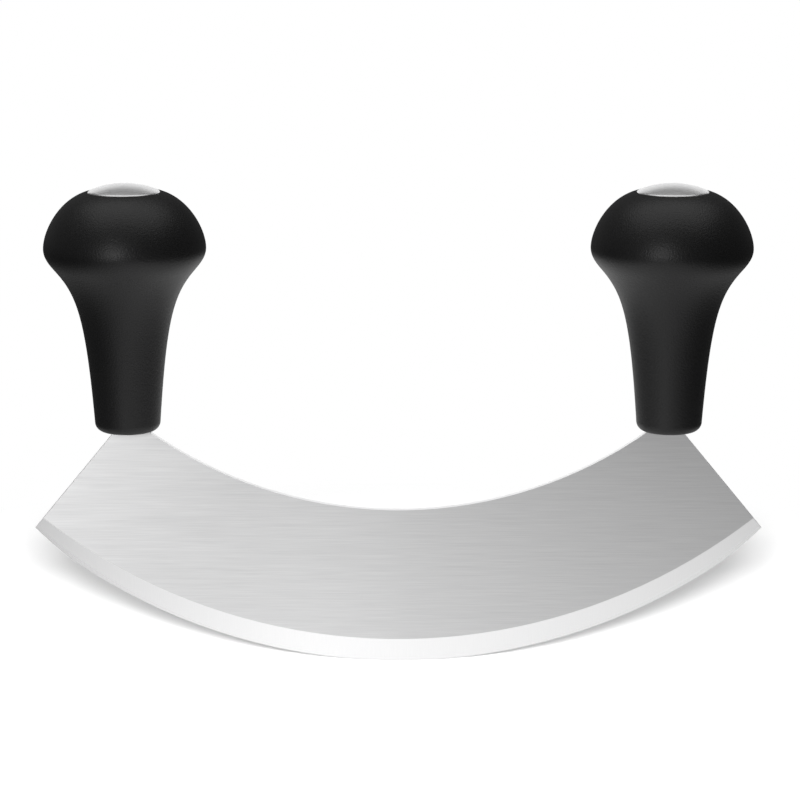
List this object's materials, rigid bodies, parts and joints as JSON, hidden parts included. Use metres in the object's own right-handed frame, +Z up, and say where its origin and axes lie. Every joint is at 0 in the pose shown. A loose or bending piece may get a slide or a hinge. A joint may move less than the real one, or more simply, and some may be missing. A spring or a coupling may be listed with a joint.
{
  "type": "mezzaluna",
  "caption": "Two-handled rocking knife: one curved steel blade with an upright mushroom-shaped grip at each end, for chopping herbs on a board.",
  "frame": {"origin": "lowest point of the cutting edge, in the middle plane of the blade, under the middle of the object", "axes": "+Z up along both handles, +X along the blade from the left handle to the right one, -Y out of the front face"},
  "size_m": [0.23, 0.0506, 0.1534],
  "materials": {
    "blade_steel": "fine brushing along the blade, bright ground bevel",
    "cap_steel": "satin",
    "grip_skin": "satin with a fine moulded grain",
    "core_plastic": "as moulded",
    "seal_rubber": "matte",
    "fastener_steel": "plain"
  },
  "bodies": {
    "root": {"blade": "blade_steel", "grip_left": "grip_skin", "handle_core_left": "core_plastic", "end_cap_left": "cap_steel", "cap_seal_left": "seal_rubber", "tang_seal_left": "seal_rubber", "tang_stud_left": "fastener_steel", "stud_pin_left": "fastener_steel", "flat_washer_left": "fastener_steel", "lock_washer_left": "fastener_steel", "clamp_nut_left": "fastener_steel", "grip_right": "grip_skin", "handle_core_right": "core_plastic", "end_cap_right": "cap_steel", "cap_seal_right": "seal_rubber", "tang_seal_right": "seal_rubber", "tang_stud_right": "fastener_steel", "stud_pin_right": "fastener_steel", "flat_washer_right": "fastener_steel", "lock_washer_right": "fastener_steel", "clamp_nut_right": "fastener_steel"}
  },
  "joints": []
}
